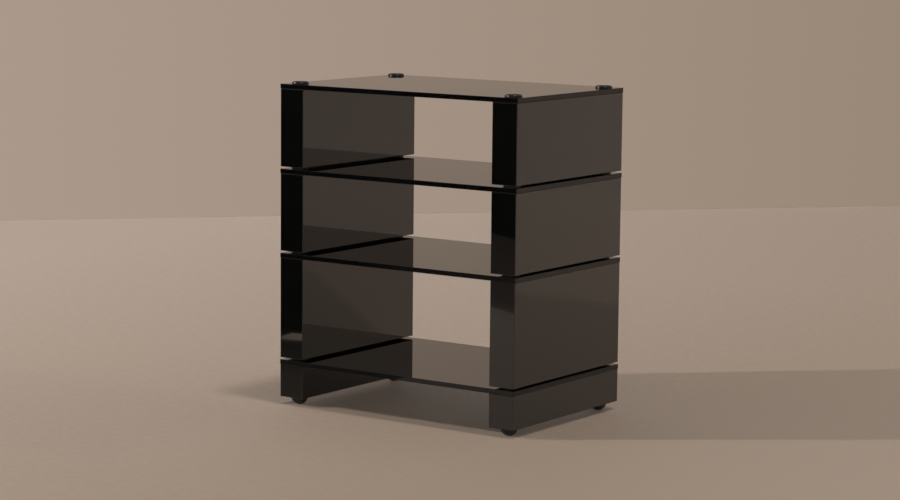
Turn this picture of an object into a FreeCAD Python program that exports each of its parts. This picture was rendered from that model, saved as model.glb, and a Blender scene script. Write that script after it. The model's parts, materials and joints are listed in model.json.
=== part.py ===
import FreeCAD
import Part
import math
import os

from FreeCAD import Vector

# An audio rack of four tiers that stack. Each tier is two thick side panels with a glass shelf bonded
# on top of them. Ring spacers on the shelf's corners carry the next tier, and a pin under each corner of
# that tier drops into a socket in the spacer. The lowest tier stands on four dome feet, which screw out.
#
# Millimetres, +Z up, the front towards -Y, the origin on the floor under the middle of the rack.

# Shelves
shelf_width = 600.0
shelf_depth = 400.0
shelf_thickness = 10.0
shelf_arris = 0.6

# Side panels: the shelf stands past their outer faces by the overhang, all round
panel_thickness = 60.0
panel_edge_radius = 1.2
shelf_overhang = 0.5
base_panel_height = 70.0
lower_panel_height = 215.0
middle_panel_height = 165.0
upper_panel_height = 165.0

# Corners: spacers, sockets, pins, bonding discs and feet stand on these axes
corner_inset = 30.0

# Ring spacers
spacer_diameter = 36.0
spacer_height = 4.5
spacer_edge_radius = 3.4
spacer_mouth_chamfer = 0.5

# Sockets in the middle of the spacers
socket_diameter = 17.0
socket_floor = 0.6
socket_recess = 0.6
socket_mouth_chamfer = 0.5

# Locating pins under the three upper tiers
pin_diameter = 8.0
pin_in_panel = 20.0
pin_reach = 3.0
pin_tip_chamfer = 0.9
pin_clearance = 0.3

# Bonding discs, set into the panels' tops
bond_diameter = 40.0
bond_thickness = 1.0

# Dome feet
foot_diameter = 36.0
foot_height = 17.5
foot_flat_diameter = 8.6

# Studs, whose flanges are moulded into the feet
stud_diameter = 8.0
stud_length = 28.0
stud_tip_chamfer = 1.0
thread_pitch = 1.25
thread_depth = 0.6
flange_diameter = 26.0
flange_thickness = 2.5

# Threaded inserts in the base panels
insert_diameter = 12.0
insert_length = 24.0
insert_groove_depth = 0.5
insert_groove_width = 1.5
insert_groove_count = 4

# Clearances
glue_gap = 0.05
thread_clearance = 0.05
blind_end_gap = 2.0
cut_overrun = 1.0

# Tiers from the floor up, and the four corners as directions across and along the rack
PANEL_HEIGHTS = {
    "base": base_panel_height,
    "lower": lower_panel_height,
    "middle": middle_panel_height,
    "upper": upper_panel_height,
}
SIDES = {"left": -1, "right": 1}
ENDS = {"front": -1, "back": 1}
CORNERS = {f"{end}_{side}": (SIDES[side], ENDS[end]) for end in ENDS for side in SIDES}

UP = Vector(0, 0, 1)
FULL_TURN = 360
diagonal_share = math.sqrt(0.5)

# Places and radii that follow from the sizes
corner_x = shelf_width / 2 - corner_inset
corner_y = shelf_depth / 2 - corner_inset
panel_depth = shelf_depth - 2 * shelf_overhang
panel_outer_x = shelf_width / 2 - shelf_overhang
socket_radius = socket_diameter / 2
socket_height = spacer_height - socket_recess
socket_bore_radius = pin_diameter / 2 + pin_clearance
insert_radius = insert_diameter / 2
thread_radius = stud_diameter / 2 + thread_clearance


def panel_bottoms():
    """How high each tier's panels start above the floor."""
    bottoms = {}
    z = foot_height
    for tier, height in PANEL_HEIGHTS.items():
        bottoms[tier] = z
        z += height + shelf_thickness + spacer_height
    return bottoms


PANEL_BOTTOMS = panel_bottoms()


def shelf_bottom(tier):
    return PANEL_BOTTOMS[tier] + PANEL_HEIGHTS[tier]


def shelf_top(tier):
    return shelf_bottom(tier) + shelf_thickness


def corner_point(corner, z):
    across, along = CORNERS[corner]
    return Vector(across * corner_x, along * corner_y, z)


def on_corners(solid, z):
    """One solid, made about the Z axis, repeated on all four corners at one height."""
    return Part.makeCompound([solid.translated(corner_point(corner, z)) for corner in CORNERS])


def turned(steps):
    """A solid turned about Z from an outline: (r, z) is a line there, (r, z, r, z) an arc via a point."""
    points = [Vector(step[-2], 0, step[-1]) for step in steps]
    edges = []
    for i, step in enumerate(steps[1:] + steps[:1]):
        start = points[i]
        end = points[(i + 1) % len(points)]
        if len(step) > 2:
            edges.append(Part.Arc(start, Vector(step[0], 0, step[1]), end).toShape())
        else:
            edges.append(Part.makeLine(start, end))
    return Part.Face(Part.Wire(edges)).revolve(Vector(0, 0, 0), UP, FULL_TURN)


def make_shelf(tier):
    """The glass shelf, with a small chamfer on every edge."""
    low = Vector(-shelf_width / 2, -shelf_depth / 2, shelf_bottom(tier))
    plate = Part.makeBox(shelf_width, shelf_depth, shelf_thickness, low)
    return plate.makeChamfer(shelf_arris, plate.Edges)


def corner_hole(radius, depth):
    """A cutter for a hole from a face at zero, which goes up into the panel."""
    return Part.makeCylinder(radius, depth + cut_overrun, Vector(0, 0, -cut_overrun), UP)


def foot_hole():
    """The hole for a foot: the insert's seat, then room for the stud's end."""
    stud_room = corner_hole(thread_radius + glue_gap, stud_length + blind_end_gap)
    return corner_hole(insert_radius + glue_gap, insert_length).fuse(stud_room)


def pin_hole():
    return corner_hole(pin_diameter / 2 + glue_gap, pin_in_panel)


def bond_seat():
    """A cutter for a bonding disc's recess, which goes down into the panel from zero."""
    low = Vector(0, 0, -bond_thickness)
    return Part.makeCylinder(bond_diameter / 2 + glue_gap, bond_thickness + cut_overrun, low, UP)


def make_panel(tier, side):
    """A side panel with rounded edges, the discs' seats on top and the feet's or pins' holes below."""
    inner_x = panel_outer_x - panel_thickness
    low_x = inner_x if side == "right" else -panel_outer_x
    low = Vector(low_x, -panel_depth / 2, PANEL_BOTTOMS[tier])
    block = Part.makeBox(panel_thickness, panel_depth, PANEL_HEIGHTS[tier], low)
    panel = block.makeFillet(panel_edge_radius, block.Edges)
    hole = foot_hole() if tier == "base" else pin_hole()
    for cutter, z in ((bond_seat(), shelf_bottom(tier)), (hole, PANEL_BOTTOMS[tier])):
        panel = panel.cut(on_corners(cutter, z))
    return panel


def make_bond_disc():
    return Part.makeCylinder(bond_diameter / 2, bond_thickness, Vector(0, 0, -bond_thickness), UP)


def make_spacer():
    """A ring with a round outer edge, open in the middle for its socket."""
    outer = spacer_diameter / 2
    inner = socket_radius + glue_gap
    edge_r = outer - spacer_edge_radius
    edge_z = spacer_height - spacer_edge_radius
    bulge = spacer_edge_radius * diagonal_share
    return turned([
        (inner, 0),
        (outer, 0),
        (outer, edge_z),
        (edge_r + bulge, edge_z + bulge, edge_r, spacer_height),
        (inner + spacer_mouth_chamfer, spacer_height),
        (inner, spacer_height - spacer_mouth_chamfer),
    ])


def make_socket():
    """A cup that the pin of the tier above drops into."""
    mouth_radius = socket_bore_radius + socket_mouth_chamfer
    return turned([
        (0, 0),
        (socket_radius, 0),
        (socket_radius, socket_height),
        (mouth_radius, socket_height),
        (socket_bore_radius, socket_height - socket_mouth_chamfer),
        (socket_bore_radius, socket_floor),
        (0, socket_floor),
    ])


def make_pin():
    """A plain pin that stands out below the panel, with its tip chamfered."""
    radius = pin_diameter / 2
    return turned([
        (0, pin_in_panel),
        (radius, pin_in_panel),
        (radius, pin_tip_chamfer - pin_reach),
        (radius - pin_tip_chamfer, -pin_reach),
        (0, -pin_reach),
    ])


def make_foot_dome():
    """A dome that bulges from a small flat on the floor to its full width under the panel."""
    outer = foot_diameter / 2
    flat = foot_flat_diameter / 2
    rise = outer - flat
    bulge_radius = (rise ** 2 + foot_height ** 2) / (2 * rise)
    centre = Vector(outer - bulge_radius, 0, foot_height)
    chord_middle = Vector((outer + flat) / 2, 0, foot_height / 2)
    middle = centre + (chord_middle - centre).normalize() * bulge_radius
    seat_radius = flange_diameter / 2 + glue_gap
    seat_z = foot_height - flange_thickness
    return turned([
        (0, 0),
        (flat, 0),
        (middle.x, middle.z, outer, foot_height),
        (seat_radius, foot_height),
        (seat_radius, seat_z),
        (0, seat_z),
    ])


def make_stud():
    """A stud that stands up from the flange in the foot's top, with its thread cut as rings."""
    radius = stud_diameter / 2
    flange_radius = flange_diameter / 2
    flange_z = foot_height - flange_thickness
    tip_z = foot_height + stud_length
    threaded_length = stud_length - stud_tip_chamfer - thread_pitch
    steps = [(0, flange_z), (flange_radius, flange_z), (flange_radius, foot_height), (radius, foot_height)]
    for i in range(int(threaded_length / thread_pitch)):
        crest = foot_height + thread_pitch * (i + 1)
        steps += [(radius, crest), (radius - thread_depth, crest + thread_pitch / 2)]
    steps += [(radius, tip_z - stud_tip_chamfer), (radius - stud_tip_chamfer, tip_z), (0, tip_z)]
    return turned(steps)


def make_insert():
    """A sleeve with rings cut round its outside, which hold it in the panel."""
    root = insert_radius - insert_groove_depth
    pitch = insert_length / (insert_groove_count + 1)
    steps = [(thread_radius, 0), (insert_radius, 0)]
    for i in range(insert_groove_count):
        low = pitch * (i + 1) - insert_groove_width / 2
        high = low + insert_groove_width
        steps += [(insert_radius, low), (root, low), (root, high), (insert_radius, high)]
    steps += [(insert_radius, insert_length), (thread_radius, insert_length)]
    return turned(steps)


def tier_nodes(tier):
    """Every piece of one tier, by node name."""
    nodes = {f"{tier}_{side}_panel": make_panel(tier, side) for side in SIDES}
    nodes[f"{tier}_shelf"] = make_shelf(tier)
    nodes[f"{tier}_bond_discs"] = on_corners(make_bond_disc(), shelf_bottom(tier))
    nodes[f"{tier}_spacer_sockets"] = on_corners(make_socket(), shelf_top(tier))
    spacer = make_spacer()
    for corner in CORNERS:
        nodes[f"{tier}_spacer_{corner}"] = spacer.translated(corner_point(corner, shelf_top(tier)))
    if tier != "base":
        nodes[f"{tier}_locating_pins"] = on_corners(make_pin(), PANEL_BOTTOMS[tier])
    return nodes


def foot_nodes():
    """The feet and their studs, each a node, and the group of inserts that they screw into."""
    nodes = {"foot_inserts": on_corners(make_insert(), PANEL_BOTTOMS["base"])}
    dome = make_foot_dome()
    stud = make_stud()
    for corner in CORNERS:
        nodes[f"foot_dome_{corner}"] = dome.translated(corner_point(corner, 0))
        nodes[f"foot_stud_{corner}"] = stud.translated(corner_point(corner, 0))
    return nodes


def main():
    nodes = foot_nodes()
    for tier in PANEL_HEIGHTS:
        nodes.update(tier_nodes(tier))
    os.makedirs("parts", exist_ok=True)
    for name, shape in nodes.items():
        shape.exportStep(f"parts/{name}.step")
    faults = [name for name, shape in nodes.items() if not shape.isValid()]
    print(f"{len(nodes)} nodes, {shelf_top('upper') + spacer_height} mm high, not valid: {faults}")


main()
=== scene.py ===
import json
import math

import bmesh
import bpy
from mathutils import Matrix, Vector


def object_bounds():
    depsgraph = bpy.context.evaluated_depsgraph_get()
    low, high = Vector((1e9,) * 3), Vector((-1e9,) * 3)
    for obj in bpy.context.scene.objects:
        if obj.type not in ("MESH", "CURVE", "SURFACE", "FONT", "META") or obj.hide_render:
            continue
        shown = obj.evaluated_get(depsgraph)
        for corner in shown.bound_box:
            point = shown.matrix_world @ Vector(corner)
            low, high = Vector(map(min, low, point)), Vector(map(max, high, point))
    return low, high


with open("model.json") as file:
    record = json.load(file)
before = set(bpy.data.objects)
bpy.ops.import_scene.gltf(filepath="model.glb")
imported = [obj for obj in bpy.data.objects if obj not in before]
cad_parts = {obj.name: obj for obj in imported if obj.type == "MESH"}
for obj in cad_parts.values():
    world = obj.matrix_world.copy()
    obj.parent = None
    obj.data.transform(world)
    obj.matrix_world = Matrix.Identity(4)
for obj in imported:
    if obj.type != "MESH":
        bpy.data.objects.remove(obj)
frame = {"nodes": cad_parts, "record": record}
cad_low, cad_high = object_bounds()

# Camera, fitted to the rack's edges in the photograph
camera_lens_mm = 103.27
camera_sensor_mm = 36.0
camera_place = Vector((3.115, -4.437, 1.071))
camera_azimuth = math.radians(35.07)
camera_elevation = math.radians(7.705)
camera_roll = math.radians(0.58)

# A round floor, cut straight at its far side. Its colour runs through three from left to right, and it
# is a little paler at the back, as painted light falloff. Its mottle shifts the place in that run by the
# share given.
floor_radius = 4.6
floor_sides = 96
floor_far_reach = 3.36
floor_turn = math.radians(12.5)
floor_fade_x = (-2.4, 3.2)
floor_left_colour = (0.404, 0.311, 0.250)
floor_right_colour = (0.334, 0.251, 0.185)
floor_far_right_colour = (0.450, 0.350, 0.272)
floor_depth_y = (-1.0, 2.0)
floor_depth_shares = (0.95, 1.09)
floor_mottle_share = 0.025

# The backdrop beyond the floor is the world itself, and its colour runs from left to right as well, as
# painted light falloff
backdrop_left_colour = (0.413, 0.322, 0.263)
backdrop_right_colour = (0.313, 0.243, 0.183)
backdrop_far_right_colour = (0.369, 0.295, 0.239)
backdrop_fade_shares = (-0.2, 0.6)

# What the gloss mirrors of the world is a painted dark reflection of a room, for mirrored rays alone: it
# dims to this share of the backdrop, towards the camera's side and with height
painted_dark_reflection_share = 0.12
painted_dark_reflection_fade_shares = (-0.15, 0.35)
painted_dark_reflection_height_shares = (0.30, 0.55)

# Even light, brighter along the horizon than overhead, with the heights between which it fades
ambient_low = 4.2
ambient_high = 0.05
ambient_fade_shares = (0.18, 0.42)

# Lamps, by their bearing from straight in front, on -Y, and their height angle: a hard key from the
# front left, and soft light from overhead that is the same all over the floor
key_bearing = math.radians(-49.6)
key_height_angle = math.radians(22.9)
key_distance = 7.86
key_width = 0.18
key_power = 390.0
top_bearing = math.radians(82.0)
top_height_angle = math.radians(73.5)
top_distance = 4.0
top_spread = math.radians(8.0)
top_strength = 1.0

# A dark flag that the front faces mirror, met by mirrored rays alone as a painted dark reflection, stands
# at the front left: its line on the floor, from near to far. Its far part is partly open up to a height,
# by the shares given, at the floor and at that height.
flag_line = (
    (-1.20, -0.838), (-0.815, -0.838), (-0.830, -0.903), (-0.7995, -0.907),
    (-0.730, -1.610), (-0.709, -1.598), (-0.580, -1.524), (-0.300, -1.364),
)
flag_height = 0.63
flag_open_y = (-1.10, -1.45)
flag_open_shares = (0.265, 0.13)
flag_open_height = 0.197

# Cards that mirrored rays alone meet lie on the floor, in the front faces' reflections: a dark card of
# painted shadow, and a pale card of painted light past it, above it
painted_shadow_lift = 0.003
painted_shadow_corners = ((-1.30, -0.678), (-0.747, -0.841), (-0.240, -0.841), (-0.30, -0.24), (-1.30, -0.24))
painted_shadow_fade_y = (-0.78, -0.40)
painted_shadow_far_colour = (0.030, 0.028, 0.025)
painted_shadow_near_colour = (0.152, 0.127, 0.102)
painted_light_lift = 0.006
painted_light_corners = (
    (-0.803, -0.825), (-0.740, -0.841), (-0.800, -0.935), (-0.850, -0.935), (-0.850, -0.825),
)
painted_light_colour = (0.60, 0.48, 0.39)

# Skirts that keep the key light from reaching in under the base: one at the foot of its left side, and
# one across its front, each with the heights that it spans
skirt_offset = 0.002
skirt_left_heights = (0.0, 0.0175)
skirt_front_heights = (0.036, 0.0875)

# Corner axes, from the record's top sockets
socket_place = next(m["pos_m"] for m in frame["record"]["mounts"] if m["name"].startswith("stack_socket"))
corner_x = abs(socket_place[0])
corner_y = abs(socket_place[1])

# Faces that get a second finish, by their normals: a panel's that look down more than this are its
# underside, a spacer's that look up more than this are the flat that carries the next tier, and a
# shelf's that look along every axis less than this are its arrises
underside_normal_z = -0.2
flat_normal_z = 0.98
arris_normal = 0.9

# Noise runs mostly between these values
noise_shares = (0.35, 0.65)

# Black tones, linear
lacquer_dark = (0.0010, 0.0010, 0.0009)
lacquer_light = (0.0020, 0.0020, 0.0017)
glass_dark = (0.0010, 0.0010, 0.0011)
glass_light = (0.0020, 0.0020, 0.0020)
polymer_dark = (0.0020, 0.0020, 0.0020)
polymer_light = (0.0045, 0.0044, 0.0043)
sealer_light = (0.0100, 0.0098, 0.0095)
rubber_dark = (0.0035, 0.0035, 0.0034)
rubber_light = (0.0080, 0.0079, 0.0076)
foam_dark = (0.0180, 0.0180, 0.0180)
foam_light = (0.0400, 0.0400, 0.0390)

# Metals
anodised_dark = (0.030, 0.030, 0.032)
anodised_light = (0.060, 0.060, 0.063)
steel_dark = (0.46, 0.46, 0.47)
steel_light = (0.62, 0.62, 0.63)
zinc_dark = (0.50, 0.50, 0.49)
zinc_light = (0.68, 0.68, 0.66)
brass_dark = (0.55, 0.40, 0.18)
brass_light = (0.74, 0.57, 0.28)


class Wiring:
    """A node tree and the place that it is read at, with short ways to wire nodes together."""

    def __init__(self, tree, place):
        self.nodes = tree.nodes
        self.links = tree.links
        self.place = self.nodes.new("ShaderNodeTexCoord").outputs[place]

    def axes(self):
        """The place's coordinates, by the axes' names."""
        split = self.nodes.new("ShaderNodeSeparateXYZ")
        self.links.new(self.place, split.inputs["Vector"])
        return split.outputs

    def math(self, operation, first, second=None):
        """A step of arithmetic on one or two values, each a number or a node's output."""
        node = self.nodes.new("ShaderNodeMath")
        node.operation = operation
        for socket, value in zip(node.inputs, (first, second)):
            if isinstance(value, bpy.types.NodeSocket):
                self.links.new(value, socket)
            elif value is not None:
                socket.default_value = value
        return node.outputs["Value"]

    def spread(self, factor, low, high, start, end):
        """A factor's stretch from start to end, mapped to the values from low to high."""
        node = self.nodes.new("ShaderNodeMapRange")
        for socket, value in (("From Min", start), ("From Max", end), ("To Min", low), ("To Max", high)):
            node.inputs[socket].default_value = value
        self.links.new(factor, node.inputs["Value"])
        return node.outputs["Result"]

    def along(self, bearing):
        """How far the place lies towards a bearing, which is from -Y."""
        axes = self.axes()
        across = self.math("MULTIPLY", axes["X"], math.sin(bearing))
        return self.math("SUBTRACT", across, self.math("MULTIPLY", axes["Y"], math.cos(bearing)))

    def ramp(self, factor, colours):
        """A colour that runs through several, evenly, as a factor goes from zero to one."""
        node = self.nodes.new("ShaderNodeValToRGB")
        stops = node.color_ramp.elements
        last = len(colours) - 1
        for i in range(1, last):
            stops.new(i / last)
        for stop, colour in zip(stops, colours):
            stop.color = (*colour, 1)
        self.links.new(factor, node.inputs["Fac"])
        return node.outputs["Color"]

    def scaled(self, colour, factor):
        """A colour times a factor."""
        node = self.nodes.new("ShaderNodeVectorMath")
        node.operation = "SCALE"
        self.links.new(colour, node.inputs["Vector"])
        self.links.new(factor, node.inputs["Scale"])
        return node.outputs["Vector"]

    def blend(self, factor, first, second):
        """A colour between two, by a factor from zero to one."""
        node = self.nodes.new("ShaderNodeMix")
        node.data_type = "RGBA"
        colour_sockets = [s for s in node.inputs if s.type == "RGBA"]
        for socket, value in zip(colour_sockets, (first, second)):
            socket.default_value = (*value, 1)
        self.links.new(factor, node.inputs["Factor"])
        return next(s for s in node.outputs if s.type == "RGBA")


class Finish(Wiring):
    """A material about one Principled shader."""

    def __init__(self, name, values):
        self.material = bpy.data.materials.new(name)
        self.material.use_nodes = True
        super().__init__(self.material.node_tree, "Object")
        self.shader = self.nodes["Principled BSDF"]
        for socket, value in values.items():
            self.shader.inputs[socket].default_value = value

    def noise(self, size, detail, vector=None):
        """Noise whose marks are about the given size, in metres."""
        node = self.nodes.new("ShaderNodeTexNoise")
        node.inputs["Scale"].default_value = 1 / size
        node.inputs["Detail"].default_value = detail
        self.links.new(vector or self.place, node.inputs["Vector"])
        return node.outputs["Fac"]

    def noise_between(self, noise, low, high):
        """Noise mapped to the values from low to high."""
        return self.spread(noise, low, high, *noise_shares)

    def stretched(self, x=1.0, y=1.0, z=1.0):
        """The place with each axis scaled, which draws marks out along the axes scaled least."""
        node = self.nodes.new("ShaderNodeMapping")
        node.inputs["Scale"].default_value = (x, y, z)
        self.links.new(self.place, node.inputs["Vector"])
        return node.outputs["Vector"]

    def corner_radius(self):
        """How far a point is from the nearest corner axis."""
        axes = self.axes()
        squares = []
        for axis, offset in (("X", corner_x), ("Y", corner_y)):
            across = self.math("SUBTRACT", self.math("ABSOLUTE", axes[axis]), offset)
            squares.append(self.math("MULTIPLY", across, across))
        return self.math("SQRT", self.math("ADD", *squares))

    def rings(self, pitch):
        """Turning marks about the corner axes, as heights from -1 to 1."""
        return self.math("SINE", self.math("MULTIPLY", self.corner_radius(), 2 * math.pi / pitch))

    def colour(self, factor, dark, light):
        self.links.new(self.blend(factor, dark, light), self.shader.inputs["Base Color"])

    def roughness(self, noise, low, high):
        self.links.new(self.noise_between(noise, low, high), self.shader.inputs["Roughness"])

    def alpha(self, factor):
        self.links.new(factor, self.shader.inputs["Alpha"])

    def bump(self, height, depth, coat=False):
        """Relief of about the given depth, in metres."""
        node = self.nodes.new("ShaderNodeBump")
        node.inputs["Strength"].default_value = 1
        node.inputs["Distance"].default_value = depth
        self.links.new(height, node.inputs["Height"])
        self.links.new(node.outputs["Normal"], self.shader.inputs["Normal"])
        if coat:
            self.links.new(node.outputs["Normal"], self.shader.inputs["Coat Normal"])


def panel_lacquer():
    """Black paint under a clear gloss coat, with a faint orange peel and faint cloudy handling marks."""
    coat = {"Coat Weight": 1.0, "Coat Roughness": 0.015, "Coat IOR": 1.5}
    finish = Finish("panel_lacquer", {"IOR": 1.5, **coat})
    clouds = finish.noise(size=0.09, detail=4)
    finish.colour(clouds, dark=lacquer_dark, light=lacquer_light)
    finish.roughness(clouds, low=0.03, high=0.08)
    finish.bump(finish.noise(size=0.004, detail=2), depth=0.000004, coat=True)
    return finish.material


def panel_underside():
    """The panels' undersides, sealed with matt black paint."""
    finish = Finish("panel_underside", {"IOR": 1.45})
    grain = finish.noise(size=0.0012, detail=4)
    finish.colour(grain, dark=lacquer_light, light=sealer_light)
    finish.roughness(grain, low=0.65, high=0.85)
    finish.bump(grain, depth=0.00004)
    return finish.material


def shelf_glass():
    """Black glass, dead flat, with thin smears that only dull its gloss a little."""
    finish = Finish("shelf_glass", {"IOR": 1.52})
    smears = finish.noise(size=0.05, detail=5, vector=finish.stretched(y=0.35))
    finish.colour(smears, dark=glass_dark, light=glass_light)
    finish.roughness(smears, low=0.008, high=0.035)
    return finish.material


def shelf_arris():
    """The shelves' small chamfers, ground and left satin."""
    finish = Finish("shelf_arris", {"IOR": 1.52, "Specular IOR Level": 0.2})
    grain = finish.noise(size=0.0008, detail=3)
    finish.colour(grain, dark=glass_dark, light=glass_light)
    finish.roughness(grain, low=0.42, high=0.58)
    finish.bump(grain, depth=0.00001)
    return finish.material


def spacer_polymer():
    """Hard moulded rings, glossy, with a fine moulded grain."""
    finish = Finish("spacer_polymer", {"IOR": 1.5})
    grain = finish.noise(size=0.0009, detail=3)
    finish.colour(grain, dark=polymer_dark, light=polymer_light)
    finish.roughness(finish.noise(size=0.006, detail=3), low=0.20, high=0.26)
    finish.bump(grain, depth=0.000008)
    return finish.material


def spacer_flat():
    """The spacers' flat tops, left matt so that a tier doesn't slide on them."""
    finish = Finish("spacer_flat", {"IOR": 1.45, "Specular IOR Level": 0.3})
    grain = finish.noise(size=0.0007, detail=4)
    finish.colour(grain, dark=polymer_dark, light=polymer_light)
    finish.roughness(grain, low=0.70, high=0.90)
    finish.bump(grain, depth=0.00003)
    return finish.material


def socket_metal():
    """Black anodised aluminium with turning rings."""
    finish = Finish("socket_metal", {"Metallic": 1.0})
    finish.colour(finish.noise(size=0.002, detail=3), dark=anodised_dark, light=anodised_light)
    finish.roughness(finish.noise(size=0.001, detail=2), low=0.28, high=0.40)
    finish.bump(finish.rings(pitch=0.0005), depth=0.000006)
    return finish.material


def bond_foam():
    """Matt black foam with fine pores."""
    finish = Finish("bond_foam", {"IOR": 1.45})
    pores = finish.noise(size=0.0006, detail=4)
    finish.colour(pores, dark=foam_dark, light=foam_light)
    finish.roughness(pores, low=0.80, high=0.95)
    finish.bump(pores, depth=0.00012)
    return finish.material


def ground_metal(name, dark, light, low, high, pitch):
    """Metal turned or ground round the corner axes: fine marks along its height, rings on its ends."""
    finish = Finish(name, {"Metallic": 1.0})
    marks = finish.noise(size=0.0015, detail=4, vector=finish.stretched(x=0.15, y=0.15, z=3.0))
    finish.colour(marks, dark, light)
    finish.roughness(marks, low, high)
    finish.bump(finish.math("ADD", marks, finish.rings(pitch)), depth=0.000004)
    return finish.material


def foot_rubber():
    """Satin rubber, with a fine grain and a little dust in it."""
    finish = Finish("foot_rubber", {"IOR": 1.5})
    grain = finish.noise(size=0.0006, detail=4)
    finish.colour(finish.noise(size=0.004, detail=4), dark=rubber_dark, light=rubber_light)
    finish.roughness(grain, low=0.42, high=0.60)
    finish.bump(grain, depth=0.00003)
    return finish.material


def dress_nodes():
    """Gives every node of the frame the finish that its slot in the record names."""
    finishes = {
        "panel_lacquer": panel_lacquer(),
        "shelf_glass": shelf_glass(),
        "spacer_polymer": spacer_polymer(),
        "socket_metal": socket_metal(),
        "bond_foam": bond_foam(),
        "pin_steel": ground_metal("pin_steel", steel_dark, steel_light, low=0.20, high=0.32, pitch=0.0006),
        "foot_rubber": foot_rubber(),
        "stud_steel": ground_metal("stud_steel", zinc_dark, zinc_light, low=0.28, high=0.42, pitch=0.0008),
        "insert_brass": ground_metal(
            "insert_brass", brass_dark, brass_light, low=0.25, high=0.38, pitch=0.0008),
    }
    second_finishes = {
        "panel_lacquer": (panel_underside(), lambda normal: normal.z < underside_normal_z),
        "shelf_glass": (shelf_arris(), lambda normal: max(map(abs, normal)) < arris_normal),
        "spacer_polymer": (spacer_flat(), lambda normal: normal.z > flat_normal_z),
    }
    for part in frame["record"]["subparts"]:
        node = frame["nodes"][part["node"]]
        node.data.materials.clear()
        slot = part["material_slot"]
        node.data.materials.append(finishes[slot])
        if slot in second_finishes:
            second, takes = second_finishes[slot]
            node.data.materials.append(second)
            for face in node.data.polygons:
                face.material_index = int(takes(face.normal))


def add_mesh(name, mesh):
    """Puts a mesh of the stage into the scene."""
    thing = bpy.data.objects.new(name, mesh)
    bpy.context.scene.collection.objects.link(thing)
    return thing


def floor_finish():
    """Matt, with a faint fine mottle, and colours that fade across it as painted light falloff."""
    finish = Finish("floor", {"Specular IOR Level": 0.2})
    axes = finish.axes()
    fade = finish.spread(axes["X"], 0, 1, *floor_fade_x)
    mottle = finish.noise(size=0.02, detail=5)
    shift = finish.noise_between(mottle, -floor_mottle_share, floor_mottle_share)
    fade = finish.math("ADD", fade, shift)
    # The run of colours and the depth shares paint light falloff across the floor
    colour = finish.ramp(fade, (floor_left_colour, floor_right_colour, floor_far_right_colour))
    colour = finish.scaled(colour, finish.spread(axes["Y"], *floor_depth_shares, *floor_depth_y))
    finish.links.new(colour, finish.shader.inputs["Base Color"])
    finish.roughness(mottle, low=0.75, high=0.90)
    finish.bump(finish.noise(size=0.01, detail=5), depth=0.0004)
    return finish.material


def make_floor():
    """A wide plain floor, round but for its straight far side."""
    work = bmesh.new()
    bmesh.ops.create_circle(work, cap_ends=True, radius=floor_radius, segments=floor_sides)
    turn = camera_azimuth + floor_turn
    away = Vector((-math.sin(turn), math.cos(turn), 0))
    far_side = away * floor_far_reach
    whole = work.verts[:] + work.edges[:] + work.faces[:]
    bmesh.ops.bisect_plane(work, geom=whole, plane_co=far_side, plane_no=away, clear_outer=True)
    mesh = bpy.data.meshes.new("floor")
    work.to_mesh(mesh)
    work.free()
    mesh.materials.append(floor_finish())
    add_mesh("floor", mesh)


def add_card(finish, points, faces, seen_by):
    """A flat card of the stage, which one kind of ray alone meets."""
    name = finish.material.name
    mesh = bpy.data.meshes.new(name)
    mesh.from_pydata(points, [], faces)
    mesh.materials.append(finish.material)
    card = add_mesh(name, mesh)
    for kind in ("camera", "diffuse", "glossy", "transmission", "volume_scatter", "shadow"):
        setattr(card, f"visible_{kind}", kind == seen_by)


def add_standing_card(finish, line, low, high, seen_by):
    """A card that stands along a line on the floor, between two heights."""
    points = [(x, y, z) for x, y in line for z in (low, high)]
    quads = [(i, i + 2, i + 3, i + 1) for i in range(0, len(points) - 2, 2)]
    add_card(finish, points, quads, seen_by)


def add_floor_card(finish, corners, lift):
    """A card that lies just above the floor, for mirrored rays."""
    add_card(finish, [(x, y, lift) for x, y in corners], [tuple(range(len(corners)))], "glossy")


def black_finish(name):
    return Finish(name, {"Base Color": (0, 0, 0, 1), "Specular IOR Level": 0})


def make_flag():
    """A tall black flag, folded along its line, whose far part lets some light through low down: a painted
    dark reflection, met by mirrored rays alone.
    """
    finish = black_finish("flag")
    axes = finish.axes()
    far = finish.spread(axes["Y"], 0, 1, *flag_open_y)
    low_down = finish.math("LESS_THAN", axes["Z"], flag_open_height)
    opening = finish.spread(axes["Z"], *flag_open_shares, 0, flag_open_height)
    opening = finish.math("MULTIPLY", opening, finish.math("MULTIPLY", far, low_down))
    finish.alpha(finish.math("SUBTRACT", 1, opening))
    add_standing_card(finish, flag_line, 0, flag_height, "glossy")


def make_floor_cards():
    """Painted shadow on the floor, lighter towards the rack, and painted light past it, both met by
    mirrored rays alone.
    """
    painted_shadow_card = Finish("painted_shadow_card", {"Specular IOR Level": 0})
    painted_shadow_card.colour(painted_shadow_card.spread(painted_shadow_card.axes()["Y"], 0, 1, *painted_shadow_fade_y), painted_shadow_far_colour, painted_shadow_near_colour)
    add_floor_card(painted_shadow_card, painted_shadow_corners, painted_shadow_lift)
    painted_light_card = Finish("painted_light_card", {"Base Color": (*painted_light_colour, 1), "Specular IOR Level": 0})
    add_floor_card(painted_light_card, painted_light_corners, painted_light_lift)


def make_skirts():
    """Cards at the base's left and front, which only throw shadow."""
    left = cad_low.x - skirt_offset
    line = ((left, cad_low.y), (left, cad_high.y))
    add_standing_card(black_finish("skirt_left"), line, *skirt_left_heights, "shadow")
    front = cad_low.y - skirt_offset
    line = ((cad_low.x, front), (cad_high.x, front))
    add_standing_card(black_finish("skirt_front"), line, *skirt_front_heights, "shadow")


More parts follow.
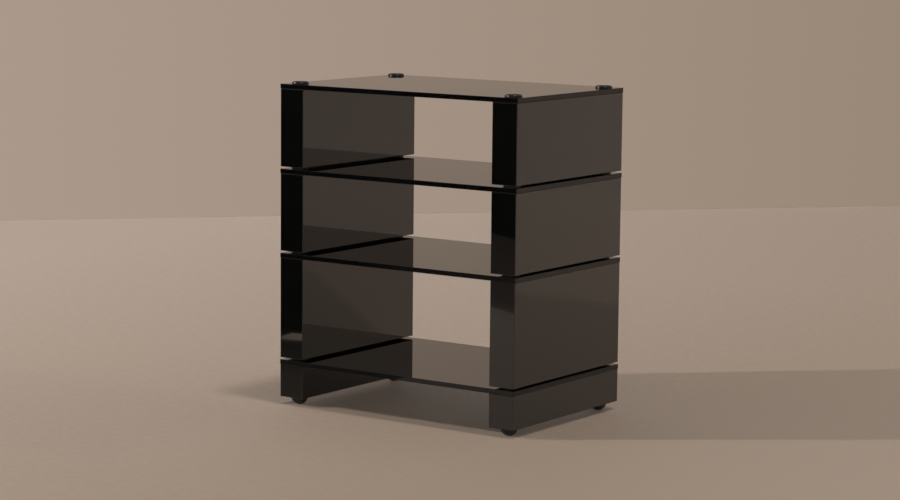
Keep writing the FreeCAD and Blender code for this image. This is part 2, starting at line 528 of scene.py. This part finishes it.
def make_world():
    """Even light on the object, and a beige backdrop for what looks at the world or mirrors it."""
    world = bpy.data.worlds.new("studio")
    world.use_nodes = True
    world.cycles.sampling_method = "NONE"
    bpy.context.scene.world = world
    wiring = Wiring(world.node_tree, "Generated")
    nodes = wiring.nodes
    links = wiring.links
    axes = wiring.axes()
    kinds = nodes.new("ShaderNodeLightPath").outputs
    seen = wiring.math("MAXIMUM", kinds["Is Glossy Ray"], kinds["Is Transmission Ray"])
    seen = wiring.math("MAXIMUM", seen, kinds["Is Camera Ray"])
    backdrop = nodes.new("ShaderNodeBackground")
    # The backdrop's run of colours is painted light falloff
    fade = wiring.spread(wiring.along(camera_azimuth + math.pi / 2), 0, 1, *backdrop_fade_shares)
    colour = wiring.ramp(fade, (backdrop_left_colour, backdrop_right_colour, backdrop_far_right_colour))
    links.new(colour, backdrop.inputs["Color"])
    # Painted dark reflection: mirrored rays alone see the backdrop dimmed, towards the camera's side and
    # with height
    painted_dark_reflection_dimming = wiring.spread(wiring.along(camera_azimuth), 0, 1 - painted_dark_reflection_share, *painted_dark_reflection_fade_shares)
    painted_dark_reflection_dimming = wiring.math("MULTIPLY", painted_dark_reflection_dimming, wiring.spread(axes["Z"], 0, 1, *painted_dark_reflection_height_shares))
    painted_dark_reflection_dimming = wiring.math("MULTIPLY", painted_dark_reflection_dimming, kinds["Is Glossy Ray"])
    links.new(wiring.math("SUBTRACT", 1, painted_dark_reflection_dimming), backdrop.inputs["Strength"])
    ambient = nodes["Background"]
    ambient.inputs["Color"].default_value = (1, 1, 1, 1)
    strength = wiring.spread(axes["Z"], ambient_low, ambient_high, *ambient_fade_shares)
    links.new(strength, ambient.inputs["Strength"])
    mix = nodes.new("ShaderNodeMixShader")
    links.new(seen, mix.inputs["Fac"])
    links.new(ambient.outputs["Background"], mix.inputs[1])
    links.new(backdrop.outputs["Background"], mix.inputs[2])
    links.new(mix.outputs["Shader"], nodes["World Output"].inputs["Surface"])


def add_lamp(name, kind, bearing, height_angle, distance, values):
    """A lamp that faces the middle of the rack."""
    middle = (cad_low + cad_high) / 2
    out = Vector((math.sin(bearing), -math.cos(bearing), math.tan(height_angle))).normalized()
    lamp = bpy.data.lights.new(name, kind)
    for setting, value in values.items():
        setattr(lamp, setting, value)
    thing = bpy.data.objects.new(name, lamp)
    thing.location = middle + out * distance
    thing.rotation_euler = (-out).to_track_quat("-Z", "Y").to_euler()
    bpy.context.scene.collection.objects.link(thing)


def make_lamps():
    key = {"energy": key_power, "shape": "DISK", "size": key_width}
    add_lamp("key", "AREA", key_bearing, key_height_angle, key_distance, key)
    top = {"energy": top_strength, "angle": top_spread}
    add_lamp("top", "SUN", top_bearing, top_height_angle, top_distance, top)


def make_camera():
    """The photograph's view: level right and up turned by the roll, looking along minus the back axis."""
    level = math.cos(camera_elevation)
    back = Vector((
        math.sin(camera_azimuth) * level,
        -math.cos(camera_azimuth) * level,
        math.sin(camera_elevation),
    ))
    level_right = Vector((math.cos(camera_azimuth), math.sin(camera_azimuth), 0))
    level_up = back.cross(level_right)
    right = level_right * math.cos(camera_roll) + level_up * math.sin(camera_roll)
    up = back.cross(right)
    data = bpy.data.cameras.new("camera")
    data.lens = camera_lens_mm
    data.sensor_width = camera_sensor_mm
    data.sensor_fit = "HORIZONTAL"
    camera = bpy.data.objects.new("camera", data)
    turn = Matrix((right, up, back)).transposed()
    camera.matrix_world = Matrix.Translation(camera_place) @ turn.to_4x4()
    bpy.context.scene.collection.objects.link(camera)
    bpy.context.scene.camera = camera


dress_nodes()
make_floor()
make_flag()
make_floor_cards()
make_skirts()
make_world()
make_lamps()
make_camera()
bpy.context.scene.view_settings.view_transform = "Standard"
